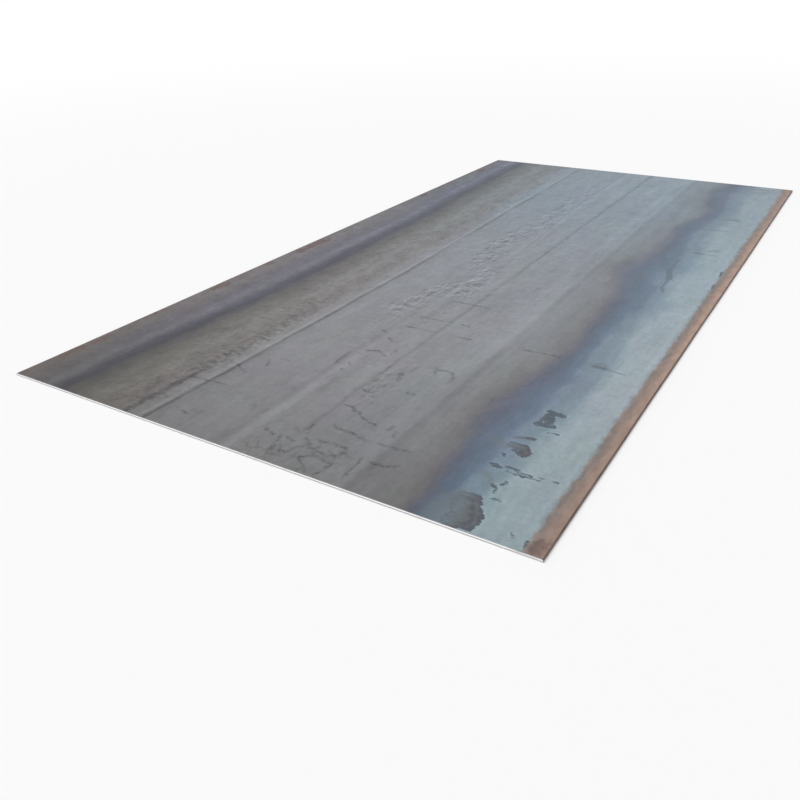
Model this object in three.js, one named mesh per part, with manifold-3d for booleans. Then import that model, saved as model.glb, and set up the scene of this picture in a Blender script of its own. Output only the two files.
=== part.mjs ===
// Hot-rolled steel plate, as cut to length from a mill-edge coil.
//
// The plate is one solid. Its two long sides are mill edges: nothing has trimmed them, so they keep the
// rounded bulge that the rolls squeezed out, and they wander in and out a little along the plate. Its two
// short ends are sheared: each shows the die roll, the burnished land and the sloping fracture that a
// shear's blades leave. The solid is made in that order too, as a strip that is rolled and then sheared.
//
// Millimetres. X runs across the plate, Y along the rolling direction and Z up through the thickness. The
// origin is at the middle of the plate's underside.

import * as THREE from 'three';
import { mergeVertices } from 'three/addons/utils/BufferGeometryUtils.js';
import Module from 'manifold-3d';

// The plate
const plateLength = 3000; // sheared end to sheared end
const plateWidth = 1500; // over both mill edges where they stand out most
const plateThickness = 6;

// The mill edges: a quarter round above and below a narrow upright band
const millRoundWidth = 2.4; // how far the edge bulges out past the flat faces
const millBandHeight = 0.8; // the upright band between the two rounds
const millRoundSteps = 6; // facets in each quarter round

// Each mill edge drifts in from its outermost line by a long wave and a short one
const longDriftDepth = 0.9;
const shortDriftDepth = 0.5;
const millStationPitch = 30; // how far apart the points of the outline lie
const leftMillEdge = { side: -1, widestAt: -300, longWave: 1900, shortWave: 430 };
const rightMillEdge = { side: 1, widestAt: 450, longWave: 2300, shortWave: 520 };

// The sheared ends, measured down through the plate from the side that the moving blade enters
const dieRollWidth = 1.8; // how far in from the end the face starts to turn down
const dieRollDepth = 0.5;
const dieRollSteps = 8; // facets in the turned-down corner
const burnishedHeight = 2; // the upright land that the blade's flank rubs smooth
const fractureSetback = 0.45; // how far the torn part leans in by the other face: the blades' clearance
const croppedLength = 60; // waste that the shear cuts off each end of the strip
const bladeOverreach = 5; // how far the blades reach past the strip on every side

const wasm = await Module();
wasm.setup();

// How far in from its outermost line a mill edge lies at a place along the plate.
function millDrift(edge, y) {
  const along = Math.PI * (y - edge.widestAt);
  const long = longDriftDepth * Math.sin(along / edge.longWave) ** 2;
  const short = shortDriftDepth * Math.sin(along / edge.shortWave) ** 2;
  return long + short;
}

// The outline of the strip seen from above, uncropped: up the right mill edge and back down the left one.
function stripOutline() {
  const halfStrip = plateLength / 2 + croppedLength;
  const steps = Math.ceil(halfStrip / millStationPitch);
  const outline = [];
  for (const edge of [rightMillEdge, leftMillEdge]) {
    for (let step = -steps; step <= steps; step++) {
      const y = edge.side * step * millStationPitch;
      outline.push(new THREE.Vector2(edge.side * (plateWidth / 2 - millDrift(edge, y)), y));
    }
  }
  return new THREE.Shape(outline);
}

// The rolled strip, its long sides rounded and its ends still uncut.
function rolledStrip() {
  const roundHeight = (plateThickness - millBandHeight) / 2;
  const strip = new THREE.ExtrudeGeometry(stripOutline(), {
    depth: millBandHeight,
    steps: 1,
    bevelEnabled: true,
    bevelThickness: roundHeight,
    bevelSize: millRoundWidth,
    bevelOffset: -millRoundWidth,
    bevelSegments: millRoundSteps,
  });
  return strip.translate(0, 0, roundHeight);
}

// What the shear takes off, as an outline whose first axis points out past the end and whose second axis
// points up. The end of the plate lies at 0 on the first axis, and its underside at 0 on the second.
function cropOutline() {
  const landTop = plateThickness - dieRollDepth;
  const overTop = plateThickness + bladeOverreach;
  const farOut = 2 * croppedLength;
  const crop = new THREE.Shape();
  crop.moveTo(-dieRollWidth, overTop);
  crop.lineTo(-dieRollWidth, plateThickness);
  crop.absellipse(-dieRollWidth, landTop, dieRollWidth, dieRollDepth, Math.PI / 2, 0, true);
  crop.lineTo(0, landTop - burnishedHeight);
  crop.lineTo(-fractureSetback, 0);
  crop.lineTo(-fractureSetback, -bladeOverreach);
  crop.lineTo(farOut, -bladeOverreach);
  crop.lineTo(farOut, overTop);
  crop.closePath();
  return crop;
}

// The crop at the leading end, where the strip lay on the fixed blade and the die roll is on top.
function leadingCrop() {
  const reach = plateWidth + 2 * bladeOverreach;
  const crop = new THREE.ExtrudeGeometry(cropOutline(), {
    depth: reach,
    steps: 1,
    curveSegments: dieRollSteps,
    bevelEnabled: false,
  });
  const outward = new THREE.Vector3(0, -1, 0);
  const up = new THREE.Vector3(0, 0, 1);
  const across = new THREE.Vector3(-1, 0, 0);
  crop.applyMatrix4(new THREE.Matrix4().makeBasis(outward, up, across));
  return crop.translate(reach / 2, -plateLength / 2, 0);
}

// The crop at the trailing end. The moving blade pushed that end down and off, so its cut is the leading
// one turned over about the middle of the plate: the die roll is underneath and the fracture leans in above.
function trailingCrop() {
  const halfThickness = plateThickness / 2;
  return leadingCrop().translate(0, 0, -halfThickness).rotateX(Math.PI).translate(0, 0, halfThickness);
}

// A closed geometry as a manifold solid. Only its positions are kept, so that shared corners merge.
function toSolid(geometry) {
  const bare = geometry.clone();
  bare.deleteAttribute('normal');
  bare.deleteAttribute('uv');
  const merged = mergeVertices(bare);
  return new wasm.Manifold(new wasm.Mesh({
    numProp: 3,
    vertProperties: new Float32Array(merged.attributes.position.array),
    triVerts: new Uint32Array(merged.index.array),
  }));
}

// A manifold solid as a flat-shaded geometry.
function toGeometry(solid) {
  const mesh = solid.getMesh();
  const indexed = new THREE.BufferGeometry();
  indexed.setAttribute('position', new THREE.BufferAttribute(mesh.vertProperties, mesh.numProp));
  indexed.setIndex(new THREE.BufferAttribute(mesh.triVerts, 1));
  const faceted = indexed.toNonIndexed();
  faceted.computeVertexNormals();
  return faceted;
}

// The strip with both ends sheared square to length.
function shearedPlate() {
  const strip = toSolid(rolledStrip());
  return toGeometry(strip.subtract(toSolid(leadingCrop())).subtract(toSolid(trailingCrop())));
}

// Blue-grey mill scale, which is duller than bare steel.
const millScale = new THREE.MeshStandardMaterial({ color: 0x85868c, roughness: 0.55, metalness: 0.7 });

const steelPlate = new THREE.Mesh(shearedPlate(), millScale);
steelPlate.name = 'steel_plate';

const part = new THREE.Group();
part.add(steelPlate);

export default part;
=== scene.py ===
# %% [markdown]
# # A hot-rolled steel plate
#
# The object is one plate of raw stock, 1.5 m wide, 3 m long and 6 mm thick, lying on a level floor. It was
# rolled hot, so black-blue oxide, called mill scale, covers both faces. Its long sides are mill edges,
# which kept the rounded bulge that the rolls squeezed out. Its short ends were sheared, and are bare metal.
#
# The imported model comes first, as a fixed frame. Everything below takes its place and size from it.

# %% The frame
import functools
import math

import bpy
import numpy as np
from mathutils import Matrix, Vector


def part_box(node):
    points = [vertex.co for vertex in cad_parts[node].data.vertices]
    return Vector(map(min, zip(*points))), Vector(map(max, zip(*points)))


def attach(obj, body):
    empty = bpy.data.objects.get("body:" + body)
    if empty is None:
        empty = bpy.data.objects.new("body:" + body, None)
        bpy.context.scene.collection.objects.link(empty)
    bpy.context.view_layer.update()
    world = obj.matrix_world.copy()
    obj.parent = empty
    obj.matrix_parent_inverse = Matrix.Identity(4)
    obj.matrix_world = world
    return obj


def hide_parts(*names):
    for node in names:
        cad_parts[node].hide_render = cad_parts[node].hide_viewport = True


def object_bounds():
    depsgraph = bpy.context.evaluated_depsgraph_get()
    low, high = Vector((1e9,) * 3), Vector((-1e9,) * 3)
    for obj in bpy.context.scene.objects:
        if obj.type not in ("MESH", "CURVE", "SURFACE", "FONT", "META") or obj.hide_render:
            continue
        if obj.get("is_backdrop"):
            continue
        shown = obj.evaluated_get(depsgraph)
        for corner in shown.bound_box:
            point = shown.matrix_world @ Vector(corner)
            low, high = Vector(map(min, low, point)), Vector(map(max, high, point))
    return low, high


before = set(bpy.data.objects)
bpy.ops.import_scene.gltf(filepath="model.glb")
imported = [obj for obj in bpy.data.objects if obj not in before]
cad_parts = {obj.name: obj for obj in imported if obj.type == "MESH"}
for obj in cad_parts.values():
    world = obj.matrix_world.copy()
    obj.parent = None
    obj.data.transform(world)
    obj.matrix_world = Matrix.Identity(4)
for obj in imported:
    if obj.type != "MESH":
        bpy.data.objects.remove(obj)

cad_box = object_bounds()
low, high = (np.array(corner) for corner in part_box("steel_plate"))
width, length, thickness = (float(side) for side in high - low)
print(f"The plate is {width:.3f} m wide, {length:.3f} m long and {thickness * 1000:.1f} mm thick.")

# %% [markdown]
# ## The camera
#
# The camera stands a metre in front of the plate's near right corner and a little to its right, at about
# the height of a kitchen worktop, and looks down along the plate. A plate is so thin that it needs this
# high view: from lower down it would be a line. The lens is a plain wide one, which makes the far end much
# narrower than the near end.

# %% The camera
MM = 0.001
camera_place = (1.108, -2.5396, 0.9233)
camera_turn = (61.262, 1.05, 31.478)  # degrees about X, Y and Z
focal_length = 35.07  # millimetres, with a picture 36 mm wide

camera = bpy.data.objects.new("camera", bpy.data.cameras.new("camera"))
camera.location = camera_place
camera.rotation_euler = [math.radians(angle) for angle in camera_turn]
camera.data.sensor_width = 36
camera.data.lens = focal_length
bpy.context.scene.collection.objects.link(camera)
bpy.context.scene.camera = camera
print(f"The camera sees {math.degrees(camera.data.angle):.1f} degrees across.")

# %% [markdown]
# ## The rim of the plate
#
# The faces of a plate are flat, so all of its shape is in the rim. There are two kinds of rim. A mill edge
# has a quarter round above and below a narrow upright band, and drifts in and out along the plate. A
# sheared end has, from the side that the blade enters, a corner that is drawn down (the die roll), an
# upright polished land, and a torn face that leans in.
#
# A box with a Bevel modifier would come near to it, but a bevel is the same on all four sides and above
# and below. So both kinds are written as functions of the height z in the thickness: how far in from the
# outermost line does the rim lie at that height? A function of height is enough, because no part of the
# rim hangs over another.

# %% The mill edge as a function of height
mill_round = 2.4 * MM
mill_band = 0.8 * MM


def mill_inset(z):
    """How far in a mill edge lies at height z: the band is at 0, and each round is a quarter ellipse, so
    the inset is the round's width times (1 - square root of (1 - h squared)), with h from 0 at the band
    to 1 at the face."""
    round_height = (thickness - mill_band) / 2
    h = np.clip((np.abs(z - thickness / 2) - mill_band / 2) / round_height, 0, 1)
    return mill_round * (1 - np.sqrt(1 - h**2))


print(f"At the faces a mill edge lies {mill_inset(np.array([0.0]))[0] * 1000:.1f} mm in.")

# %% The sheared end as a function of height
roll_width = 1.8 * MM
roll_depth = 0.5 * MM
land_height = 2.0 * MM
torn_top = roll_depth + land_height
fracture_lean = 0.45 * MM


def shear_inset(down):
    """How far in a sheared end lies at a depth below the face that the blade enters: a quarter ellipse
    over the die roll, 0 over the land, and then a straight lean to the other face."""
    rise = np.clip(1 - down / roll_depth, 0, 1)
    roll = roll_width * (1 - np.sqrt(1 - rise**2))
    return roll + fracture_lean * np.clip((down - torn_top) / (thickness - torn_top), 0, 1)


print(f"The land is {land_height * 1000:.0f} mm of the {thickness * 1000:.0f} mm of the sheared end.")

# %% [markdown]
# No rim is as clean as its formula. The mill edges drift by a long and a short wave, and both kinds of rim
# are rough by up to a third of a millimetre. A Displace modifier could push the points about, but it would
# move the flat faces too. A sum of sine waves, with unlike lengths and drawn phases, makes roughness along
# the rim alone, without a repeat that the eye could find. It is squeezed into 0 to 1 and taken off the
# rim, never added, so that the plate stays inside its true width and length.


# %% Drift and roughness
long_drift = 0.9 * MM
short_drift = 0.5 * MM


def drift(y, widest_at, long_wave, short_wave):
    """The drift of a mill edge: two squared sines, both 0 where the plate is widest."""
    along = math.pi * (y - widest_at)
    return long_drift * np.sin(along / long_wave) ** 2 + short_drift * np.sin(along / short_wave) ** 2


def roughness(place, height, seed, longest, shortest, waves=14):
    """A value from 0 to 1 over a rim: the mean of sine waves of the place along it and the height, their
    lengths spread evenly by ratio from longest to shortest, made sharper by squaring."""
    draw = np.random.default_rng(seed)
    total = np.zeros(np.broadcast(place, height).shape)
    for wave_length in np.geomspace(longest, shortest, waves):
        lean = draw.uniform(-1, 1) * 2 * math.pi / (4 * MM)
        phase = draw.uniform(0, 2 * math.pi)
        total += np.sin(2 * math.pi * place / wave_length + lean * height + phase)
    return (0.5 + total / (2 * waves)) ** 2


sample = roughness(np.linspace(0, 1, 500), 0.0, 3, 0.2, 0.02)
print(f"The roughness runs from {sample.min():.2f} to {sample.max():.2f}.")

# %% [markdown]
# ## The plate as a lattice
#
# The whole plate is one closed skin. The two faces and four rims could be made as six sheets and sewn
# together, but then every seam needs care. Here a box of lattice points is bent to the plate's shape
# instead: each point has a share u across, a share v along and a height z, and lies by those shares
# between the two mill edges, and between the two sheared ends, at that height. Only the points on the
# outside of the box are kept. This gives all six sides at once, with their seams already closed, and the
# skin's points are close enough together to carry the bands of colour that come later.

# %% The heights of the lattice
height_steps = 22
columns = 100
stations = 280


def lattice_heights():
    """Heights from 0 to the thickness, crowded towards both faces by a cosine, with the corners of the
    sheared end's profile put in exactly."""
    turn = np.linspace(0, math.pi, height_steps + 1)
    even = thickness / 2 * (1 - np.cos(turn))
    corners = [roll_depth, torn_top, thickness - roll_depth, thickness - torn_top]
    heights = np.unique(np.round(np.concatenate([even, corners]), 7))
    return heights[np.append(True, np.diff(heights) > 0.01 * MM)]


heights = lattice_heights()
print(f"The lattice has {len(heights)} heights.")

# %% The lattice's points
mill_roughness = 0.35 * MM
torn_roughness = 0.30 * MM
torn_ramp = 0.8 * MM


def plate_points():
    """Points (i, j, k) of the lattice, i across, j along and k up.
    x = left edge + (right edge - left edge) * u, y = leading end + (trailing end - leading end) * v."""
    u = np.linspace(0, 1, columns + 1)[:, None, None]
    v = np.linspace(0, 1, stations + 1)[None, :, None]
    z = heights[None, None, :]
    flat_x = (u - 0.5) * width
    flat_y = (v - 0.5) * length
    inset = mill_inset(z)
    left_rough = mill_roughness * roughness(flat_y, z, 11, 0.45, 0.03)
    right_rough = mill_roughness * roughness(flat_y, z, 12, 0.45, 0.03)
    left = -width / 2 + inset + drift(flat_y, -0.300, 1.9, 0.43) + left_rough
    right = width / 2 - inset - drift(flat_y, 0.450, 2.3, 0.52) - right_rough
    depth = thickness - z
    near_torn = np.clip((depth - torn_top) / torn_ramp, 0, 1) * roughness(flat_x, z, 13, 0.12, 0.03)
    far_torn = np.clip((z - torn_top) / torn_ramp, 0, 1) * roughness(flat_x, z, 14, 0.12, 0.03)
    near = -length / 2 + shear_inset(depth) + torn_roughness * near_torn
    far = length / 2 - shear_inset(z) - torn_roughness * far_torn
    x = left + (right - left) * u
    y = near + (far - near) * v
    return np.stack(np.broadcast_arrays(x, y, z), axis=-1)


lattice = plate_points()
print("The lattice spans", np.ptp(lattice.reshape(-1, 3), axis=0).round(5), "m.")


# %% The skin of the lattice
def skin_of(lattice):
    """The outside points, and for each side its four-cornered faces by point number. A sheet of points is
    wound so that its first direction crossed with its second points out of the plate."""
    shape = lattice.shape[:3]
    outside = np.zeros(shape, bool)
    outside[[0, -1]] = True
    outside[:, [0, -1]] = True
    outside[:, :, [0, -1]] = True
    number = np.full(shape, -1)
    number[outside] = np.arange(outside.sum())
    sheets = {
        "upper face": number[:, :, -1],
        "underside": number[:, :, 0].T,
        "right mill edge": number[-1],
        "left mill edge": number[0].T,
        "leading end": number[:, 0],
        "trailing end": number[:, -1].T,
    }
    corners = lambda s: np.stack([s[:-1, :-1], s[1:, :-1], s[1:, 1:], s[:-1, 1:]], axis=-1)
    return lattice[outside], {side: corners(sheet).reshape(-1, 4) for side, sheet in sheets.items()}


points, sides = skin_of(lattice)
print({side: len(faces) for side, faces in sides.items()})

# %% The plate's mesh
finish_of_side = dict(zip(sides, (0, 1, 2, 2, 3, 3)))  # the two faces, the mill edges and the ends


def make_plate():
    """One closed mesh of all six sides, each side with its own finish, smooth over the rounds and sharp
    along the land."""
    faces = np.concatenate(list(sides.values()))
    finishes = np.concatenate([np.full(len(faces), finish_of_side[side]) for side, faces in sides.items()])
    mesh = bpy.data.meshes.new("plate")
    mesh.from_pydata(points, [], faces)
    mesh.polygons.foreach_set("material_index", finishes.astype(np.int32))
    mesh.shade_smooth()
    mesh.set_sharp_from_angle(angle=math.radians(35))
    plate = bpy.data.objects.new("rolled_plate", mesh)
    bpy.context.scene.collection.objects.link(plate)
    return plate


plate = make_plate()
print("The plate's skin has", len(plate.data.polygons), "faces.")

# %% [markdown]
# ## Where the colours lie
#
# Mill scale isn't one grey. The middle of the plate cooled evenly and is plain blue-grey. Towards each
# mill edge the scale is thinner, and a thin film of oxide shows the temper colours: straw, violet, deep
# blue and pale blue, in that order. On the left they are squeezed into one dark band. On the right they
# fill a quarter of the width, and the blue band wanders.
#
# The bands follow lines that run the length of the plate: one for the dark band, one where the blue
# begins and one where it turns pale. A fourth line is one that a scored roll left. A ramp straight across
# would make them ruler-straight, and a noise would bend them anywhere. So each is given by the few places
# where it turns, in millimetres from the leading end and from the left mill edge, and eased between them.
# How far a point lies from a line is stored on the mesh, where a material can read it.

# %% The wandering lines
blue_line_turns = (
    (0, 1205), (450, 1158), (900, 1212), (1250, 1194), (1600, 1122),
    (1850, 1180), (2150, 1174), (2430, 1222), (2780, 1158), (3000, 1200),
)
pale_line_turns = (
    (0, 1268), (750, 1296), (1000, 1284), (1350, 1300), (1540, 1274),
    (1680, 1302), (2120, 1262), (2380, 1298), (2750, 1274), (3000, 1284),
)
dark_line_turns = ((0, 172), (1000, 204), (1700, 196), (2350, 158), (3000, 138))
scored_line_turns = ((0, 479), (450, 492), (800, 498), (1300, 502), (1700, 494), (2150, 486), (3000, 480))


def eased_line(turns, along):
    """The place across of a line through its turns: between two of them it goes by 3t^2 - 2t^3."""
    places, values = np.array(turns, float).T
    before = np.clip(np.searchsorted(places, along) - 1, 0, len(places) - 2)
    t = np.clip((along - places[before]) / (places[before + 1] - places[before]), 0, 1)
    return values[before] + (values[before + 1] - values[before]) * t * t * (3 - 2 * t)


def offset_from(turns):
    """How many millimetres to the right of the line each point lies."""
    return (points[:, 0] + width / 2) / MM - eased_line(turns, (points[:, 1] + length / 2) / MM)


def across_band(start_turns, end_turns):
    """A measure across a band of uneven width: below 0 it is millimetres short of where the band begins,
    from 0 to 100 it is the share of the band's width, and above 100 it is millimetres past its end."""
    past_start, past_end = offset_from(start_turns), offset_from(end_turns)
    share = past_start / (past_start - past_end)
    return np.minimum(past_start, 0) + np.clip(share, 0, 1) * 100 + np.maximum(past_end, 0)


def store(name, values):
    """Stores a value on each point of the plate."""
    plate.data.attributes.new(name, "FLOAT", "POINT").data.foreach_set("value", values.astype(np.float32))
    print(f"{name} runs from {values.min():.0f} to {values.max():.0f}.")


store("across_blue_band", across_band(blue_line_turns, pale_line_turns))
store("from_dark_line", offset_from(dark_line_turns))
store("from_scored_line", offset_from(scored_line_turns))

# %% [markdown]
# ## Arithmetic on the surface
#
# A material is a web of nodes, and most of this plate's is plain arithmetic on numbers that vary over the
# surface. A thousand nodes placed by hand could be neither read nor changed. So a small class stands for
# such a number: adding or multiplying two of them adds the Math node that does it. The formulas below can
# then be read as formulas.


# %% Adding nodes
def feed(node, inputs):
    """Gives a node its inputs. Each is a constant, or a Field, which is linked."""
    for name, value in inputs.items():
        if isinstance(value, Field):
            value.tree.links.new(value.socket, node.inputs[name])
        else:
            node.inputs[name].default_value = value
    return node


def add_node(tree, kind, inputs, **settings):
    """Adds a node with its settings and inputs."""
    node = tree.nodes.new(kind)
    for name, value in settings.items():
        setattr(node, name, value)
    return feed(node, inputs)


class Field:
    """A number, place or colour that varies over the surface: an output of a node."""

    def __init__(self, socket):
        self.socket = socket
        self.tree = socket.id_data

    __add__ = __radd__ = lambda self, other: calc("ADD", self, other)
    __sub__ = lambda self, other: calc("SUBTRACT", self, other)
    __rsub__ = lambda self, other: calc("SUBTRACT", other, self)
    __mul__ = __rmul__ = lambda self, other: calc("MULTIPLY", self, other)


def field_of(tree, kind, inputs, output=0, **settings):
    """Adds a node and gives one of its outputs."""
    return Field(add_node(tree, kind, inputs, **settings).outputs[output])


def calc(operation, *values):
    """A Math node on numbers and Fields."""
    tree = next(value.tree for value in values if isinstance(value, Field))
    return field_of(tree, "ShaderNodeMath", dict(enumerate(values)), operation=operation)


def vector(operation, first, second=(0, 0, 0), third=(0, 0, 0), scale=1.0, output=0):
    """A Vector Math node on places or colours, the first of them a Field."""
    inputs = dict(enumerate((first, second, third, scale)))
    return field_of(first.tree, "ShaderNodeVectorMath", inputs, output, operation=operation)


print("Fields can be added, subtracted and multiplied.")

# %% [markdown]
# Nearly every mark has a place where it starts and one where it ends, and neither is sharp. Three shapes
# are enough for all of them: a soft step, a hump round a line, and a window between two lines. A clamped
# Math node would make a step too, but with hard corners where it starts and ends.


# %% Soft steps and bands
def step(value, start, end):
    """0 before start and 1 after end, eased between. With end before start it falls instead."""
    inputs = {"Value": value, "From Min": start, "From Max": end}
    return field_of(value.tree, "ShaderNodeMapRange", inputs, interpolation_type="SMOOTHSTEP")


def hump(value, centre, reach):
    """1 at the centre, falling to 0 at the reach on both sides."""
    return step(calc("ABSOLUTE", value - centre), reach, 0)


def window(value, start, end, softness):
    """1 between start and end, fading over the softness outside them."""
    return step(value, start - softness, start) * step(value, end + softness, end)


print("A band of colour is a window, and a line is a hump.")

# %% [markdown]
# The materials are measured as a maker would measure the plate, in millimetres from its left mill edge
# and its leading end. The Object coordinates give the place in metres from the plate's middle, so they are
# scaled and moved. They belong to the plate, so its marks stay where they are however it is turned.

# %% Places in millimetres
wide, long, thick = (round(side / MM, 3) for side in (width, length, thickness))


def place_in_mm(tree):
    """The point's place in millimetres, from the left mill edge, the leading end and the underside."""
    own = field_of(tree, "ShaderNodeTexCoord", {}, "Object")
    return vector("MULTIPLY_ADD", own, (1 / MM,) * 3, (wide / 2, long / 2, 0))


def parts_of(place):
    """How far across, along and up a place lies."""
    return [Field(part) for part in add_node(place.tree, "ShaderNodeSeparateXYZ", {0: place}).outputs]


def stored(place, name):
    """The value stored on the mesh at a place."""
    return field_of(place.tree, "ShaderNodeAttribute", {}, "Fac", attribute_name=name)


print(f"Places run to {wide:.0f} mm across, {long:.0f} mm along and {thick:.0f} mm up.")

# %% [markdown]
# What no one drew is made of noise. A noise texture stretched along the plate gives streaks, a round one
# gives mottling, and a fine one gives grain. The faces are flat, so their noise is flat too, which costs
# less than a solid one. On the rims the height matters, so theirs is solid. Each pattern has its own shift
# into the noise, or the same lumps would show through all of them.


# %% Patterns
def stretched(place, size, shift):
    """A place measured in units of the pattern's size. The shift makes one pattern unlike the next."""
    scale = [1 / side for side in size] + [0] * (3 - len(size))
    return vector("MULTIPLY_ADD", place, scale, (shift,) * 3)


def noise(place, size, shift, detail, fall, output):
    """A noise texture. A size is in millimetres across and along, and on a rim also up."""
    inputs = {"Vector": stretched(place, size, shift), "Scale": 1.0, "Detail": detail, "Roughness": fall}
    return field_of(place.tree, "ShaderNodeTexNoise", inputs, output, noise_dimensions=f"{len(size)}D")


def cloud(place, size, shift=0.0, detail=2.0, fall=0.5):
    """A cloudy pattern from about -1 to 1, its lumps about as large as the size."""
    return (noise(place, size, shift, detail, fall, "Fac") - 0.5) * 4


def crazing(place, size, shift=0.0):
    """How far it is to the nearest crack of a net, in units of the net's mesh."""
    inputs = {"Vector": stretched(place, size, shift), "Scale": 1.0}
    kind = {"feature": "DISTANCE_TO_EDGE", "voronoi_dimensions": "2D"}
    return field_of(place.tree, "ShaderNodeTexVoronoi", inputs, "Distance", **kind)


print("Clouds make mottling and streaks, and nets make cracks.")

# %% [markdown]
# A mark that was drawn with a ruler looks drawn. Bending the mark itself would need many more points, so
# the place is bent instead: it is pushed about by a noise before the mark is measured on it.


# %% Bending a place
def bent(place, reach, size, shift=0.0):
    """The place pushed about by up to the reach, in swirls of the given size, so that straight things
    drawn on it become ragged."""
    swirls = noise(place, (size, size), shift, 4.0, 0.65, "Color")
    push = vector("MULTIPLY_ADD", swirls, (4 * reach,) * 3, (-2 * reach,) * 3)
    return vector("ADD", place, push)


print("A straight line drawn on a bent place comes out ragged.")

# %% [markdown]
# Colours are given as they look on a screen, because that is how one judges them, and turned into the
# linear values that light is reckoned in. A mark either covers the colour under it, as rust does, or makes
# it lighter or darker, as a scratch does, and a band is laid out along a ramp.


# %% Colours
def paint(red, green, blue):
    """A colour given as it looks on a screen, 0 to 255, as the linear values that nodes take."""
    shares = np.array([red, green, blue]) / 255
    linear = np.where(shares > 0.04045, ((shares + 0.055) / 1.055) ** 2.4, shares / 12.92)
    return (*linear.tolist(), 1.0)


def mix(amount, under, over):
    """The under colour, with the over colour laid on it by the amount."""
    return field_of(amount.tree, "ShaderNodeMix", {0: amount, 6: under, 7: over}, 2, data_type="RGBA")


def shaded(colour, factor):
    """A colour made lighter or darker by a factor."""
    return vector("SCALE", colour, scale=factor)


def tinted(colour, tint):
    """A colour times a tint, channel by channel."""
    return vector("MULTIPLY", colour, tint)


def colour_ramp(value, stops):
    """Colours laid out along a value: stops are (value, colour) in rising order."""
    first, last = stops[0][0], stops[-1][0]
    inputs = {"Value": value, "From Min": first, "From Max": last}
    share = field_of(value.tree, "ShaderNodeMapRange", inputs)
    node = add_node(value.tree, "ShaderNodeValToRGB", {0: share})
    elements = node.color_ramp.elements
    while len(elements) < len(stops):
        elements.new(1.0)
    for element, (at, colour) in zip(elements, stops):
        element.position = (at - first) / (last - first)
        element.color = colour
    return Field(node.outputs[0])


print("A middle grey is", [round(channel, 3) for channel in paint(128, 128, 128)[:3]], "to a node.")

# %% [markdown]
# ## The scale on the upper face
#
# The finish is built up as it came about. First the temper colours across the plate, then the change of
# tone along it, then what the rolls left: grain, streaks and a few ruled lines. On top of that lies what
# happened later: cracks in the scale, scratches, flakes that came off, and rust creeping in at the rim.
# One painted picture could hold all this, but it would blur close up on a plate of three metres, and one
# mark couldn't be changed without the others.
#
# The temper colours are two ramps, one for each side, because the two sides follow different lines. They
# meet in the plain grey of the middle.

# %% Temper colours across
# Each entry is a place on a band's measure, and the red, green and blue there.
middle_scale = (128, 131, 137)
blue_side = [
    (-400, *middle_scale), (-150, 130, 135, 141), (-125, 123, 127, 134), (-45, 119, 123, 127),
    (-15, 113, 115, 119), (12, 100, 102, 111), (40, 85, 95, 113), (70, 85, 104, 121), (92, 90, 109, 128),
    (112, 109, 128, 142), (145, 116, 138, 149), (185, 142, 159, 166), (250, 146, 163, 168),
]
dark_side = [
    (-185, 108, 104, 108), (-130, 95, 91, 96), (-75, 87, 87, 99), (-45, 98, 98, 109), (-14, 62, 64, 81),
    (12, 49, 50, 64), (42, 76, 76, 79), (82, 94, 92, 91), (140, 115, 115, 115), (210, 112, 109, 110),
    (300, *middle_scale),
]


def temper_colours(place, across, blue):
    """The bands across: the dark side's colours on the left and the blue side's on the right, each laid
    out by its own measure, which wavers a little."""
    waver = cloud(place, (60, 150), 3.0, 5.0, 0.62)
    dark, pale = ([(at, paint(*colour)) for at, *colour in side] for side in (dark_side, blue_side))
    left = colour_ramp(stored(place, "from_dark_line") + waver * 9, dark)
    return mix(step(across, 560, 760), left, colour_ramp(blue + waver * 17, pale))


print(len(dark_side) + len(blue_side), "colours are laid out across the plate.")

# %% [markdown]
# The leading end is warm and dark and the trailing end cool. This is partly the scale's own tone, because
# the two ends didn't cool alike, and partly painted light: the dark leading end is painted shade, and the
# cool trailing end a painted reflection of a pale sky. A tint by which every colour is multiplied keeps the
# bands as they are and changes only their tone. The bands could be given again for each stretch of the
# length, but that is ten times as many colours to set.

# %% Tone along
tone_lift = 1.35  # tints are stored divided by this, because a ramp holds no colour above 1
# A tint is a place along the plate, and how much of the red, green and blue is left there.
# These tints are partly painted light: painted shade towards the leading end and a painted sky reflection
# towards the trailing end.
tones_with_painted_light = (
    (0, 0.769, 0.726, 0.677), (200, 0.848, 0.814, 0.778), (600, 1.007, 0.977, 0.945),
    (1100, 0.994, 0.993, 0.995), (1700, 0.938, 0.999, 1.037), (2300, 0.835, 1.005, 1.101),
    (3000, 0.835, 1.011, 1.100),
)
pale_tones_with_painted_light = (
    (0, 0.913, 0.913, 0.910), (700, 1.074, 0.999, 1.016), (1700, 0.930, 0.960, 0.990),
    (3000, 0.715, 0.720, 0.800),
)
greenish = (0.975, 1.0, 0.975, 1.0)
violet = (1.0, 0.968, 1.0, 1.0)
olive = (0.84, 0.85, 0.79, 1.0)


def tint_along(along, tints):
    """The tint at a place along the plate, divided by the lift."""
    lowered = [(at, (*(channel / tone_lift for channel in tint), 1.0)) for at, *tint in tints]
    return colour_ramp(along, lowered)


def toned(colour, place, across, along, blue):
    """The colour made warmer and darker towards the leading end and cooler towards the trailing end, partly
    as the scale's own tone and partly as painted shade at the leading end and a painted sky reflection at
    the trailing end. The pale side keeps its cool colour for longer, the front corner on the left is dark
    and olive, and the hue drifts between a little green and a little violet."""
    tint = mix(step(blue, -10, 80), tint_along(along, tones_with_painted_light), tint_along(along, pale_tones_with_painted_light))
    hue = step(cloud(place, (130, 240), 36.0, 3.0, 0.6), -1.0, 1.0)
    corner = step(across, 460, 200) * step(along, 750, 0)
    return tinted(tinted(colour, tint), mix(corner, mix(hue, greenish, violet), olive))


print("The tone is given at", len(tones_with_painted_light) + len(pale_tones_with_painted_light), "places along the plate.")
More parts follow.
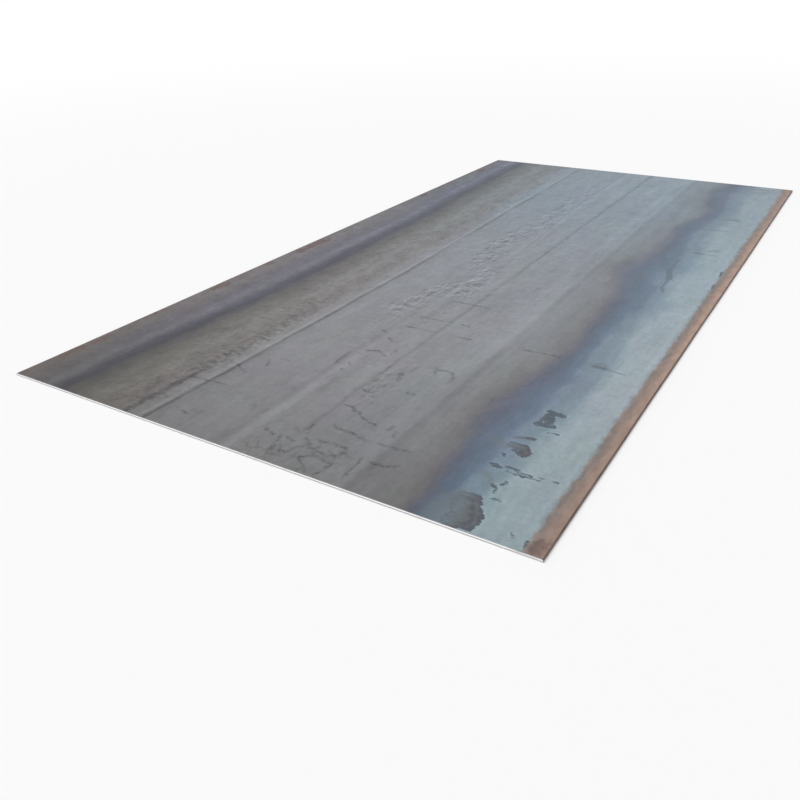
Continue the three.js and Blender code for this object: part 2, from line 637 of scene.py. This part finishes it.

# %% [markdown]
# The rolls press their own surface into the scale: a fine grain, mottling, long streaks, and a ruled line
# wherever a roll is scored. Real grooves would need a far finer mesh, so the light and shade of the lines
# is
# painted instead: a ruled line is a dark hump of painted shade with a light hump of painted highlight
# beside it, and it fades and comes back along its length.

# %% What the rolls left
middle_line = 741  # millimetres from the left mill edge, as are the next four
second_line = 811
thin_line = 851
late_line = 729  # at its far end, because it leans
ridge_line = 1047


def rolled_shade(place, across, along, scored):
    """A factor near 1: the sum of grain, mottling, streaks and ruled lines, the lines drawn as painted
    shade and painted highlight. The value scored is how far right of the deepest line a point lies. The
    late line begins halfway along and leans to the left."""
    inland = step(across, 1150, 950)
    coarse = step(across, 540, 380) * 1.4 + step(along, 500, 1500) * inland * 0.2 + 1
    fine = cloud(place, (13, 17), 35.0, 3.0, 0.65) * 0.065
    grain = (cloud(place, (40, 64), 1.0, 5.0, 0.72) * 0.11 + fine) * coarse
    grain = grain + cloud(place, (80, 190), 2.0, 3.0) * 0.05
    broad = cloud(place, (230, 480), 4.0, 1.0) * 0.03
    tilt = (step(across, 420, 850) - 0.5) * step(along, 1200, 2100) * inland * 0.055
    streaks = cloud(place, (12, 1500), 5.0, 3.0) * 0.035 + cloud(place, (50, 2600), 6.0, 1.0) * 0.03
    faded = step(cloud(place, (30, 260), 7.0), -1.2, 0.4)
    swayed = across + cloud(place, (90, 90), 8.0, 2.0) * 3
    # The ruled lines are painted light: each light hump is a painted highlight along the edge of a groove
    # or ridge, and each dark hump is painted shade in it.
    bright = window(scored, -46, -10, 14) * step(along, 2000, 1000) * 0.03
    bright = bright + hump(scored, -13, 10) * (faded * 0.12 + 0.08)
    groove = hump(scored, 0, 9) * step(along, 1500, 500) * 0.14
    groove = groove + hump(scored, 1, 11) * (faded * 0.22 + 0.17)
    deepest = bright - groove - hump(scored, 16, 26) * 0.04
    dull = hump(across, 500, 95) * step(along, 480, 120) * 0.09
    middle = hump(swayed, middle_line, 24) * (step(along, 1000, 200) * 0.11 + 0.10)
    middle = middle - hump(swayed, middle_line - 28, 18) * faded * step(along, 1500, 900) * 0.09
    second = window(swayed, second_line - 15, second_line + 15, 18)
    second = second * (step(along, 800, 1800) * 0.03 + 0.035)
    thin = hump(swayed, thin_line, 10) * (faded * 0.45 + 0.3) * step(along, -100, 350)
    thin = thin * (step(along, 900, 1600) * -0.16 - 0.27)
    leaning = swayed - step(along, 2500, 1300) * 58
    late = hump(leaning, late_line, 12) * 0.06 - hump(leaning, late_line - 13, 8) * 0.13
    late = late * step(along, 1200, 1700)
    ridge = window(swayed, ridge_line - 47, ridge_line + 3, 16) * 0.05 + hump(swayed, ridge_line, 16) * 0.07
    ridge = ridge - hump(swayed, ridge_line + 25, 18) * (faded * 0.5 + 0.5) * 0.13
    lines = deepest + middle + second + thin + late + ridge
    return grain + broad + tilt + streaks + lines - dull + 1


print("The rolls left grain, streaks and a handful of ruled lines.")

# %% [markdown]
# Scale is brittle, and where it was thick it cracked into nets as the plate cooled. To draw each crack
# would take hundreds of trails. A Voronoi texture's cells, bent out of shape, give such a net at once, and
# a cloud rubs most of it out again, because a real crack starts and stops. The nets lie in four areas: a
# spine of short cross cracks left of the deepest ruled line, a patch by the leading end, a long trail down
# the middle, and a shorter one on its right. Along the spine runs a dark seam too, with blots at its sides
# and light flecks where scale crumbled off.


# %% Cracks in the scale
def net(place, cell, line, shift, kept):
    """Lines of a bent net, as wide as the share of its cell, kept where a cloud is above a level."""
    lines = step(crazing(place, cell, shift), line, line * 0.25)
    return lines * step(cloud(place, (cell[0] * 1.7, cell[1] * 1.7), shift + 9, 1.0), kept, kept + 0.5)


def crack_shade(place, across, along, scored):
    """How dark the cracks are, from 0 to about 1, and below 0 in the light flecks."""
    ragged = bent(place, 7, 22)
    near = step(along, 1150, 450)
    blots = cloud(place, (24, 12), 9.0, 4.0, 0.7)
    seam = hump(scored + cloud(place, (30, 30), 32.0, 3.0) * 5, -60, 17) * step(along, 330, 230)
    scattered = window(scored, -88, -54, 16) * step(along, 180, 300)
    thin_out = step(scored, -230, -90) * step(scored, -8, -60) * 0.5
    spread = calc("MAXIMUM", calc("MAXIMUM", scattered, thin_out), seam)
    fringe = step(blots + seam * 0.9, -0.3, 0.4) * spread * near
    spine = net(ragged, (64, 27), 0.10, 1.0, 0.0) * window(scored, -90, -18, 14) * near
    patch_area = window(across, 780, 985, 40) * window(along, -20, 120, 60)
    trail_area = window(across, 640, 722, 32) * window(along, 760, 2150, 260)
    late_area = window(across, 742, 812, 25) * window(along, 380, 1250, 160)
    area = calc("MAXIMUM", patch_area, calc("MAXIMUM", trail_area, late_area) * 0.55)
    wrinkles = net(ragged, (36, 40), 0.13, 4.0, -0.1) * area
    flecks = step(blots, -0.2, -0.9) * spread * near
    bitten = seam * (step(blots, -0.7, 0.2) * 0.8 + 0.2)
    return spine * 0.65 + fringe * 1.2 + bitten * 0.7 - flecks * 0.4 + wrinkles * 0.9


print("Nets of cracks lie in four areas.")

# %% [markdown]
# ## Marks drawn one by one
#
# Some marks are single events: a plate dragged across another leaves a scratch, and a blow knocks a flake
# of scale off. A noise puts its marks anywhere, so these are drawn, as trails of a round pen: each trail
# runs through a few places and has a half width. How far a point lies outside the nearest trail is all
# that a material needs. A small node group measures that for one straight stretch, and the smallest
# answer over all stretches counts. Places are in millimetres from the left mill edge and the leading end.


# %% The distance to a straight stretch
def stretch_group():
    """A node group. With p from the start to the point, and span from the start to the end, the nearest
    place lies at t = p . measure, held to 0..1, where measure is span / (span . span). The distance is
    the length of p - t span."""
    group = bpy.data.node_groups.new("distance to a stretch", "ShaderNodeTree")
    for name in ("Place", "Start", "Span", "Measure"):
        group.interface.new_socket(name, in_out="INPUT", socket_type="NodeSocketVector")
    group.interface.new_socket("Distance", in_out="OUTPUT", socket_type="NodeSocketFloat")
    outputs = group.nodes.new("NodeGroupInput").outputs
    place, start, span, measure = (Field(output) for output in list(outputs)[:4])
    p = vector("SUBTRACT", place, start)
    share = vector("DOT_PRODUCT", p, measure, output="Value")
    t = field_of(group, "ShaderNodeClamp", {0: share})
    distance = vector("DISTANCE", p, vector("SCALE", span, scale=t), output="Value")
    group.links.new(distance.socket, group.nodes.new("NodeGroupOutput").inputs[0])
    return group


distance_to_stretch = stretch_group()
print(len(distance_to_stretch.nodes), "nodes measure how far it is to one stretch.")


# %% The distance to trails
def nearest_of(fields):
    """The smallest of some Fields."""
    return functools.reduce(lambda nearest, field: calc("MINIMUM", nearest, field), fields)


def outside_trails(place, trails):
    """How far a place lies outside the nearest trail. A trail is (half width, place, place, ...)."""
    flat = vector("MULTIPLY", place, (1, 1, 0))

    def stretches(turns):
        for start, end in zip(np.array(turns, float), np.array(turns[1:], float)):
            span = np.append(end - start, 0)
            inputs = {"Place": flat, "Start": (*start, 0), "Span": span, "Measure": span / (span @ span)}
            yield field_of(place.tree, "ShaderNodeGroup", inputs, node_tree=distance_to_stretch)

    return nearest_of(nearest_of(stretches(turns)) - half_width for half_width, *turns in trails)


print("A trail is a half width, and the places that it runs through.")

# %% [markdown]
# Dents are small hollows, pressed in where dirt lay between the plate and a roll. They lie in trails down
# the middle. A bump could make them, but in a light as soft as this one it would hardly show, so their
# light and shade is painted into the colour: one side of each dent is painted darker, as if it faced away
# from the light, and the other lighter, as if it faced it. The difference between a cloud and the same
# cloud moved a little is just that, painted shade on one side of each lump and a painted highlight on the
# other.

# %% Dents
dent_size = (30, 44)
dent_shift = (-8, 10, 0)
dented_trails = [
    (22, (650, 850), (676, 1010), (704, 1120)), (24, (772, 1090), (748, 1330)),
    (17, (882, 352), (872, 470)),
    (26, (672, 1390), (655, 1640), (668, 1800), (690, 2000), (676, 2320), (684, 2640)),
]


def dent_shade(place, across, along):
    """The painted shade and painted highlight of the dents: a cloud less the same cloud moved a little,
    darker on one side of each lump and lighter on the other. They are deep along the trails and faint
    elsewhere."""
    away = vector("ADD", place, dent_shift)
    dented = cloud(place, dent_size, 33.0, 4.0, 0.72) - cloud(away, dent_size, 33.0, 4.0, 0.72)
    trail = step(outside_trails(bent(place, 26, 55, 24.0), dented_trails), 38, -12)
    plain = step(across, 1150, 950) * (step(along, 500, 1300) * 0.16 + 0.12) + 0.03
    deep = trail * (step(along, 300, 1000) * 0.7 - step(along, 1400, 2200) * 0.7 + 1.0)
    return dented * (deep + plain) + step(dented, 0.5, 1.1) * (deep + plain * 0.6)


print(len(dented_trails), "trails of dents are drawn.")

# %% [markdown]
# The scratches run mostly across the plate, because plates are dragged off a pile sideways. Some have a
# hook where the dragging plate turned. By the leading end, where the scale is thickest, cracks gape wide
# enough to be drawn one by one. A smudge is a short soft shadow, such as a sling or a boot leaves.

# %% Scratches and open cracks
cross_scratches = [
    (2.4, (778, 1018), (905, 1019)), (1.8, (750, 856), (850, 863)), (2.6, (888, 866), (922, 861)),
    (1.5, (735, 774), (848, 781)), (3.2, (918, 781), (960, 780)), (2.8, (1116, 792), (1222, 797)),
    (2.8, (282, 872), (313, 887)), (2.8, (362, 774), (388, 787)), (2.8, (378, 672), (438, 684)),
    (3.0, (408, 608), (434, 603)), (2.4, (328, 616), (362, 624)), (2.4, (336, 713), (358, 721)),
    (2.6, (418, 221), (478, 223)), (1.5, (478, 223), (542, 229)), (2.6, (434, 500), (462, 494)),
    (2.0, (412, 415), (432, 418)), (2.2, (440, 385), (456, 377)), (2.2, (400, 364), (426, 367)),
    (1.6, (482, 334), (534, 306)), (2.4, (543, 398), (558, 364)), (2.2, (570, 419), (595, 415)),
    (1.9, (438, 112), (460, 107)), (1.9, (520, 78), (560, 69)),
]
hooks = [
    (2.8, (961, 574), (972, 550), (978, 540)), (1.9, (966, 568), (1010, 573), (1030, 545), (1028, 508)),
    (3.0, (738, 573), (770, 592)), (1.8, (770, 592), (808, 570)),
    (3.2, (705, 545), (706, 508), (711, 462)), (3.0, (705, 716), (720, 708)),
    (2.8, (750, 678), (766, 667)), (2.2, (808, 620), (820, 607)), (1.8, (738, 492), (752, 480)),
    (3.2, (744, 450), (750, 446)), (2.2, (919, 558), (914, 530)), (4.5, (896, 506), (910, 470)),
    (2.0, (860, 380), (884, 375), (900, 388)), (3.0, (966, 420), (986, 418)),
]
open_cracks = [
    (2.4, (916, 279), (942, 258), (986, 246)), (4.0, (893, 288), (905, 277)),
    (1.6, (864, 292), (892, 292)), (2.6, (900, 202), (912, 192)),
    (2.2, (912, 192), (956, 192), (996, 179)), (4.0, (1022, 262), (1022, 246)),
    (2.0, (1040, 243), (1048, 222)), (2.4, (1036, 182), (1076, 184)), (1.3, (1076, 184), (1112, 187)),
    (2.0, (1056, 111), (1092, 112), (1119, 128)), (2.4, (910, 130), (982, 132), (989, 110)),
    (3.4, (880, 118), (896, 112), (912, 90), (928, 102)), (2.4, (930, 90), (964, 85), (986, 95)),
    (3.0, (930, 86), (936, 70), (992, 65)), (3.0, (992, 64), (990, 34), (980, 12)),
    (2.3, (934, 70), (912, 50), (958, 14)), (2.6, (772, 106), (800, 99)), (1.7, (822, 104), (836, 50)),
    (2.2, (836, 106), (860, 98)), (4.4, (837, 50), (839, 46)),
    (2.6, (840, 47), (878, 55), (882, 78), (894, 92)), (1.9, (856, 183), (858, 154)),
    (1.6, (1036, 112), (1040, 34)),
]
smudges = [
    (7, (338, 536), (342, 472)), (6, (702, 62), (702, 12)), (6, (704, 330), (700, 300)),
    (6, (674, 232), (672, 190), (684, 168)), (5, (628, 250), (632, 150)), (5, (582, 96), (584, 20)),
    (6, (764, 392), (766, 326)), (7, (892, 520), (880, 470)), (11, (928, 22), (972, 20)),
]
drawn = cross_scratches + hooks + open_cracks
print(len(drawn), "scratches and cracks are drawn, in", sum(len(mark) - 2 for mark in drawn), "stretches.")

# %% [markdown]
# Along the right side the scale has come off in flakes and shows the darker layer under it. Some bare
# places are fresh, with a sharp edge. Others are old and have dulled on one side. Where another plate's
# edge slid, the scale is rubbed grey, and between the flakes are dark marks, the longest of them beside
# the border of rust.

# %% Flakes, rubs and dark marks
flakes = [
    (10, (1310, 504), (1342, 499)), (9, (1306, 437), (1343, 442)), (12, (1319, 486), (1327, 454)),
    (3.2, (1343, 413), (1365, 415)), (4, (1292, 282), (1296, 276)), (6, (1284, 236), (1308, 232)),
    (4, (1318, 239), (1348, 240)), (3.4, (1340, 236), (1378, 231)), (2.4, (1348, 227), (1398, 223)),
    (2.4, (1328, 226), (1366, 220)), (1.4, (1392, 232), (1410, 242), (1436, 235)),
    (4, (1339, 178), (1342, 188)), (4, (1320, 166), (1333, 160), (1335, 145)),
    (2.2, (1338, 121), (1362, 122)), (2.2, (1416, 40), (1428, 35)), (5, (1452, 1696), (1456, 1650)),
    (3.5, (1458, 1560), (1458, 1520)), (5, (1455, 32), (1460, 16)),
]
old_flakes = [
    (12, (1284, 108), (1316, 108), (1326, 82), (1342, 58), (1345, 32), (1338, 14)),
    (26, (1294, 84), (1314, 42), (1306, 20)), (14, (1292, 328), (1320, 326), (1332, 308)),
    (7, (1306, 308), (1334, 295)), (5, (1282, 356), (1304, 366), (1328, 371)),
    (8, (1313, 496), (1307, 452)),
]
rubs = [
    (22, (1276, 92), (1266, 16)), (7, (1256, 328), (1280, 310)), (6, (1290, 196), (1312, 168)),
    (9, (1322, 796), (1346, 794)), (8, (1334, 2378), (1366, 2374)), (6, (1366, 1900), (1392, 1925)),
    (9, (1376, 2868), (1400, 2900)),
]
dark_marks = [
    (4.5, (1294, 1762), (1294, 1626)), (11, (1294, 1626), (1314, 1548)),
    (4.5, (1314, 1548), (1314, 1454), (1330, 1412)), (7, (1322, 1862), (1352, 1862)),
    (3.5, (1352, 1862), (1400, 1862)), (4, (1262, 2550), (1324, 2536)), (5, (1314, 2350), (1386, 2362)),
    (4, (1290, 2176), (1368, 2194)), (7, (1318, 787), (1348, 786)), (2.5, (1348, 786), (1406, 776)),
    (7, (1362, 2940), (1404, 2936)),
]
print(len(flakes) + len(old_flakes), "pieces of scale have come off.")

# %% [markdown]
# ## Rust at the rim
#
# Scale is thinnest at the mill edges, so rust starts there. On the right the pale blue ends in a ragged
# dark line about 35 mm in, and outside it is a pink-brown border of fine rust. On the left there is no
# clean border, only a brownish margin with a few red spots. Rust covers what is under it, so it is mixed
# over the colour and not multiplied into it. The border's edge is a plain distance from the rim with a
# cloud added, which keeps it parallel to the rim and still ragged.


# %% Rust along the right mill edge
border_starts = 46  # millimetres in from the right mill edge
border_full = 36


def rust_border(colour, place, across, along):
    """The colour with the border laid over it, and how rusty each point is. The border is darkest at its
    ragged inner line and at the very rim, where the darkening is painted shade of the mill edge's rounded
    bulge turning away from the light."""
    ragged = cloud(place, (26, 34), 11.0, 4.0, 0.65) * 4 + cloud(place, (120, 260), 12.0, 1.0) * 3
    inward = wide - across + ragged
    near_pink = mix(step(along, 0, 1300), paint(144, 123, 113), paint(165, 140, 126))
    pink = mix(step(along, 1700, 2700), near_pink, paint(151, 129, 120))
    pink = mix(step(inward, 10, 32), pink, paint(134, 119, 111))
    mottled = shaded(pink, cloud(place, (14, 44), 14.0, 3.0, 0.6) * 0.16 + 1)
    patches = step(cloud(place, (22, 46), 34.0, 3.0), -0.6, 0.7)
    lined = mix(hump(inward, border_full, 13) * (patches * 0.7 + 0.1), mottled, paint(107, 105, 103))
    # The outermost strip, darkened towards a dark brown, is painted shade: the rounded bulge of the mill
    # edge turning away from the light.
    rusty = mix(step(wide - across, 6, 2) * 0.5, lined, paint(104, 82, 72))
    shadow = shaded(colour, 1 - hump(inward, 44, 9) * patches * 0.22)
    amount = step(inward, border_starts, border_full)
    return mix(amount, shadow, rusty), amount * step(inward, border_full, 20)


print(f"The border of rust is {border_full} to {border_starts} mm wide.")

# %% Rust spots
spots = [
    (11, (12, 138), (22, 205)), (8, (22, 236), (26, 300)), (12, (22, 722), (28, 788)),
    (14, (28, 1190), (34, 1360)), (17, (34, 2708), (38, 2742)), (9, (20, 1010), (18, 1040)),
    (10, (22, 2120), (24, 2150)), (13, (1474, 14), (1484, 40)),
]


def rust_spots(colour, place, ragged, across, along):
    """The colour with a brown margin on the left and red spots, and how rusty each point is."""
    margin = step(across + cloud(place, (30, 90), 16.0, 3.0) * 12, 70, 5)
    corner = step(across, 240, 0) * step(along, 420, 0)
    browned = mix(margin * 0.3 + corner * 0.2, colour, paint(98, 92, 86))
    spot = step(outside_trails(ragged, spots), 9, -6)
    rim = step(across + cloud(place, (14, 34), 38.0, 4.0, 0.7) * 12, 22, 4)
    spot = calc("MAXIMUM", spot, rim * step(cloud(place, (90, 360), 39.0, 1.0), -0.4, 0.6))
    red = mix(step(cloud(place, (12, 16), 17.0), -0.6, 0.8), paint(86, 68, 65), paint(112, 88, 81))
    return mix(spot * 0.7, browned, red), spot * 0.7 + margin * 0.3


print(len(spots), "rust spots are drawn.")

# %% [markdown]
# ## The upper face, put together
#
# A Principled shader takes the colours above. Scale is an oxide with a dull metallic sheen, so it is
# partly metallic and half rough, and rust is neither metallic nor smooth. A flake leaves a shallow step,
# so flakes also go into a bump, with the finest grain. The cracks are too thin for their depth to show.


# %% The upper face
def new_finish(name):
    """An empty material, and the place of a point on it."""
    material = bpy.data.materials.new(name)
    material.use_nodes = True
    return material, place_in_mm(material.node_tree)


def finished(material, colour, rough, metallic=0.0, **normal):
    """The material, once its shader has its inputs."""
    nodes = material.node_tree.nodes
    inputs = {"Base Color": colour, "Roughness": rough, "Metallic": metallic}
    feed(nodes["Principled BSDF"], inputs | normal)
    print(material.name, "has", len(nodes), "nodes.")
    return material


def relief(height):
    """A bump from a height in millimetres."""
    return field_of(height.tree, "ShaderNodeBump", {"Height": height, "Distance": MM, "Strength": 1.0})


def flaked_off(colour, place, ragged, across, along):
    """The colour with rubs, dark marks and bare patches on it, and how bare each point is. A bare patch
    is grey-green and violet in turns, with a pale rim where the scale's broken edge catches the light.
    An old one is darkest at its right edge and has healed on its left."""
    rub = step(outside_trails(ragged, rubs), 14, -10)
    pushed = bent(place, 3, 14, 23.0)
    dark = step(outside_trails(pushed, dark_marks), 1.5, -2)
    colour = mix(rub * 0.65, colour, paint(101, 109, 112))
    colour = mix(dark * (step(along, 0, long) * 0.2 + 0.6), colour, paint(76, 93, 107))
    torn = cloud(place, (28, 8), 24.0, 5.0, 0.8) * 6
    edge = outside_trails(pushed, flakes) + torn
    old_depth = outside_trails(pushed, old_flakes)
    old_edge = old_depth + torn
    fresh = step(edge, 2, -3)
    healing = step(across + torn * 3, 1262, 1325)
    old = step(old_edge, 1, -1.5) * (healing * 0.88 + 0.12)
    patchy = cloud(place, (22, 16), 25.0, 4.0, 0.7)
    core = mix(step(patchy, -0.8, 0.8), paint(67, 82, 90), paint(90, 97, 107))
    old_core = mix(step(old_depth + patchy * 7, -16, -4), paint(97, 103, 105), paint(81, 84, 93))
    rim = calc("MAXIMUM", window(edge, 2, 4, 2), window(old_edge, 2, 4, 2) * healing)
    colour = shaded(colour, rim * 0.11 + 1)
    colour = mix(old, colour, old_core)
    fresh_amount = fresh * (step(patchy, 1.6, 0.2) * 0.35 + 0.6)
    return mix(fresh_amount, colour, core), calc("MAXIMUM", fresh, old)


def scratched(place):
    """How much darker the drawn marks make a point. A mark has a core, pressed in unevenly, and a faint
    halo, and a smudge is all halo. Just outside a mark, a faint light band is a painted highlight on its
    raised lip."""
    pressed = step(cloud(place, (19, 15), 19.0, 4.0, 0.75), -0.8, 0.8) * 0.95 + 0.1
    wandering = bent(place, 3.6, 13, 20.0)
    outside = outside_trails(wandering, drawn) + cloud(place, (22, 6), 37.0, 2.0) * 2.0
    halo = calc("MAXIMUM", step(outside, 13, 0), step(outside_trails(wandering, smudges), 10, -6) * 1.3)
    # A faint light band just outside each mark: a painted highlight on its raised lip.
    painted_lip_highlight = window(outside, 6, 9, 3) * 0.05
    return (step(outside, 3.2, -2.0) * 0.40 + halo * 0.12 - painted_lip_highlight) * pressed


def upper_scale():
    """Mill scale with everything that happened to the upper face."""
    material, place = new_finish("mill scale, upper face")
    across, along, _ = parts_of(place)
    scored = stored(place, "from_scored_line") + cloud(place, (60, 150), 18.0, 3.0) * 2.5
    blue = stored(place, "across_blue_band")
    colour = toned(temper_colours(place, across, blue), place, across, along, blue)
    shade = rolled_shade(place, across, along, scored)
    cracks = crack_shade(place, across, along, scored)
    dents = dent_shade(place, across, along)
    # This factor holds real cracks and scratches, and also painted light: the dents' painted shade and
    # highlight, and the painted highlight beside each scratch.
    marks_and_painted_relief = calc("MINIMUM", cracks * 0.26 + dents * 0.21 + scratched(place), 0.5)
    colour = shaded(colour, (shade - marks_and_painted_relief) * tone_lift)
    ragged = bent(place, 12, 30, 15.0)
    colour, bare = flaked_off(colour, place, ragged, across, along)
    colour, right_rust = rust_border(colour, place, across, along)
    colour, left_rust = rust_spots(colour, place, ragged, across, along)
    rust = calc("MAXIMUM", right_rust, left_rust)
    fine = cloud(place, (5, 7), 26.0)
    even = cloud(place, (60, 220), 27.0) * 0.03 + fine * 0.02 + 0.48
    rough = even + bare * 0.15 + rust * 0.3 + marks_and_painted_relief * 0.2
    bump = relief(fine * (rust * 0.04 + 0.02) - bare * 0.12)
    return finished(material, colour, rough, 0.40 - rust * 0.40, Normal=bump)


upper_finish = upper_scale()

# %% [markdown]
# ## The underside and the rims
#
# The underside has the same scale, plainer, and scuffed by the plates that it lay on. It could share the
# upper face's finish, but then every scratch would be there twice, so it has its own, with no drawn marks.


# %% The underside
def under_scale():
    """Plain mill scale, mottled and streaked lengthwise, with a brown margin towards the rims."""
    material, place = new_finish("mill scale, underside")
    across, along, _ = parts_of(place)
    inward = nearest_of((across, wide - across, along, long - along))
    broad = step(cloud(place, (320, 800), 40.0, 3.0), -0.8, 0.8)
    colour = mix(broad, paint(122, 123, 126), paint(137, 141, 147))
    browned = step(inward + cloud(place, (40, 70), 41.0, 4.0) * 22, 62, 4)
    colour = mix(browned * 0.7, colour, paint(124, 107, 98))
    grain = cloud(place, (8, 14), 42.0, 4.0) * 0.03 + cloud(place, (14, 1200), 43.0, 3.0) * 0.05
    scuffed = step(cloud(place, (170, 60), 45.0), 0.1, 0.7)
    scuffs = step(cloud(place, (380, 9), 44.0, 3.0, 0.6), 0.55, 1.1) * scuffed
    colour = shaded(colour, grain + scuffs * 0.16 + 1)
    rough = grain + browned * 0.3 - scuffs * 0.1 + 0.5
    return finished(material, colour, rough, 0.4 - browned * 0.3, Normal=relief(grain * 0.6))


under_finish = under_scale()

# %% [markdown]
# The mill edges are dark rust-brown with thin laps along them, where the rolls folded the bulge. The laps
# are a solid noise, very long along the plate and very thin in height. A flat one would smear over the
# rounds.


# %% The mill edges
def edge_rust():
    """Rust-brown scale with laps: streaks half a millimetre high and several centimetres long."""
    material, place = new_finish("rusty mill edge")
    laps = cloud(place, (1.2, 90, 0.55), 50.0, 3.0, 0.6)
    patches = cloud(place, (30, 46, 7), 51.0, 3.0, 0.55)
    pits = step(cloud(place, (1.6, 2.4, 1.2), 52.0, 2.0, 0.5), 0.7, 1.4)
    colour = mix(step(patches, -0.9, 0.9), paint(80, 62, 54), paint(116, 94, 82))
    colour = shaded(colour, laps * 0.16 - pits * 0.35 + 1)
    bump = relief(laps * 0.12 - pits * 0.25)
    return finished(material, colour, laps * 0.05 + 0.78, Normal=bump)


edge_finish = edge_rust()

# %% [markdown]
# The sheared ends are the one place with bare steel: bright where the blade slid, matt and grainy where
# the metal tore. The same heights that gave the rim its shape say where one ends and the other begins, so
# finish and shape can't come apart.


# %% The sheared ends
def sheared_steel():
    """Bare steel: polished streaks over the land and grain over the torn part. Depth is measured from the
    face that the blade entered, the upper one at the leading end and the underside at the trailing end."""
    material, place = new_finish("sheared steel")
    _, along, up = parts_of(place)
    trailing = step(along, long / 2 - 1, long / 2 + 1)
    depth = (thick - up) * (1 - trailing) + up * trailing
    torn_from, roll_to = torn_top / MM, roll_depth / MM
    torn = step(depth + cloud(place, (16, 16, 3), 60.0, 3.0) * 0.35, torn_from - 0.2, torn_from + 0.2)
    rolled = step(depth, roll_to + 0.1, roll_to - 0.4)
    strokes = cloud(place, (0.45, 0.45, 14), 61.0, 3.0)
    grains = cloud(place, (0.7, 0.7, 0.7), 62.0, 3.0, 0.6)
    stains = step(cloud(place, (42, 42, 9), 63.0, 3.0), 0.1, 1.1)
    # The torn part's darker grey is partly the steel's own matt grain and partly painted shade, standing
    # for the shadow along the foot of the leading end; the trailing end's torn part gets the same grey.
    colour = mix(torn, paint(243, 243, 245), paint(196, 195, 196))
    colour = mix(stains * 0.35, colour, paint(163, 150, 138))
    colour = mix(rolled * 0.8, colour, paint(120, 116, 114))
    colour = shaded(colour, strokes * (1 - torn) * 0.05 + grains * torn * 0.10 + 1)
    rough = torn * 0.22 + rolled * 0.2 + stains * 0.15 + strokes * 0.03 + 0.30
    bump = relief(strokes * (1 - torn) * 0.03 + grains * torn * 0.16)
    return finished(material, colour, rough, 0.95 - rolled * 0.5 - stains * 0.3, Normal=bump)


end_finish = sheared_steel()

# %% The finishes on the plate
for finish in (upper_finish, under_finish, edge_finish, end_finish):
    plate.data.materials.append(finish)
print([slot.name for slot in plate.data.materials])

# %% [markdown]
# ## Floor and light
#
# The plate lies on a pale floor that runs off on all sides. A small floor with a curved back would do for
# one view, but this one has to look right from every side, so it is wide and flat, and so pale far away
# that no horizon shows.

# %% The floor
floor_reach = 300.0
floor_gap = 0.0002
pales_from = 2000  # millimetres from the plate's middle
white_from = 9000


def make_floor():
    """A level square just under the plate, matt and pale, and far away as white as the world."""
    mesh = bpy.data.meshes.new("floor")
    corners = np.array([(-1, -1), (1, -1), (1, 1), (-1, 1)]) * floor_reach
    level = float(low[2]) - floor_gap
    mesh.from_pydata([(*corner, level) for corner in corners.tolist()], [], [(0, 1, 2, 3)])
    floor = bpy.data.objects.new("floor", mesh)
    bpy.context.scene.collection.objects.link(floor)
    material, place = new_finish("pale floor")
    away = vector("DISTANCE", place, (wide / 2, long / 2, 0), output="Value")
    colour = mix(step(away, pales_from, white_from), paint(249, 249, 249), paint(254, 254, 254))
    mesh.materials.append(finished(material, colour, 0.9))
    floor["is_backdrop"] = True
    return floor


floor = make_floor()
print(f"The floor is {2 * floor_reach:.0f} m wide.")

# %% [markdown]
# The light is a soft overcast: an even world, and one very soft sun in front on the left that gives the
# shadow its direction. Together they light a level surface so that a colour shows about as it is written.
# To the camera and in reflections the world is white. A brighter light would make the background white as
# well, but it would wash the plate out.

# %% The light
world_level = 0.60
sun_level = 0.40  # how bright a white level surface looks in the sun alone
sun_height = 55.0  # degrees above the horizon
sun_from = 225.0  # degrees from the X axis towards the Y axis: in front, on the left
sun_spread = 50.0  # degrees across, which makes it as soft as a large window


def light_world():
    """The world is white to the camera and in reflections, and dimmer where it lights the plate."""
    world = bpy.data.worlds.new("overcast")
    world.use_nodes = True
    tree = world.node_tree
    rays = add_node(tree, "ShaderNodeLightPath", {}).outputs
    seen, mirrored, let_in = (Field(rays[f"Is {ray} Ray"]) for ray in ("Camera", "Glossy", "Transmission"))
    shown = calc("MAXIMUM", calc("MAXIMUM", seen, mirrored), let_in)
    strength = shown * (1 - world_level) + world_level
    feed(tree.nodes["Background"], {"Color": (1, 1, 1, 1), "Strength": strength})
    bpy.context.scene.world = world


def hang_sun():
    """A soft sun. Its strength is pi times the level, over the sine of its height."""
    sun = bpy.data.objects.new("sun", bpy.data.lights.new("sun", "SUN"))
    height = math.radians(sun_height)
    sun.data.energy = math.pi * sun_level / math.sin(height)
    sun.data.angle = math.radians(sun_spread)
    sun.rotation_euler = (math.pi / 2 - height, 0, math.radians(sun_from + 90))
    bpy.context.scene.collection.objects.link(sun)
    bpy.context.scene.view_settings.view_transform = "Standard"
    print(f"The sun's strength is {sun.data.energy:.2f}.")


light_world()
hang_sun()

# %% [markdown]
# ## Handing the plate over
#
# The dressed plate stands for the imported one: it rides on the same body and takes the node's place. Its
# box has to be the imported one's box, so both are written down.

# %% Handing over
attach(plate, "root")
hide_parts("steel_plate")
visual_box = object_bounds()
as_lists = lambda box: [[float(value) for value in corner] for corner in box]
{"cad": as_lists(cad_box), "visual": as_lists(visual_box)}
print("The packed box is", as_lists(cad_box), "and the dressed one", as_lists(visual_box))
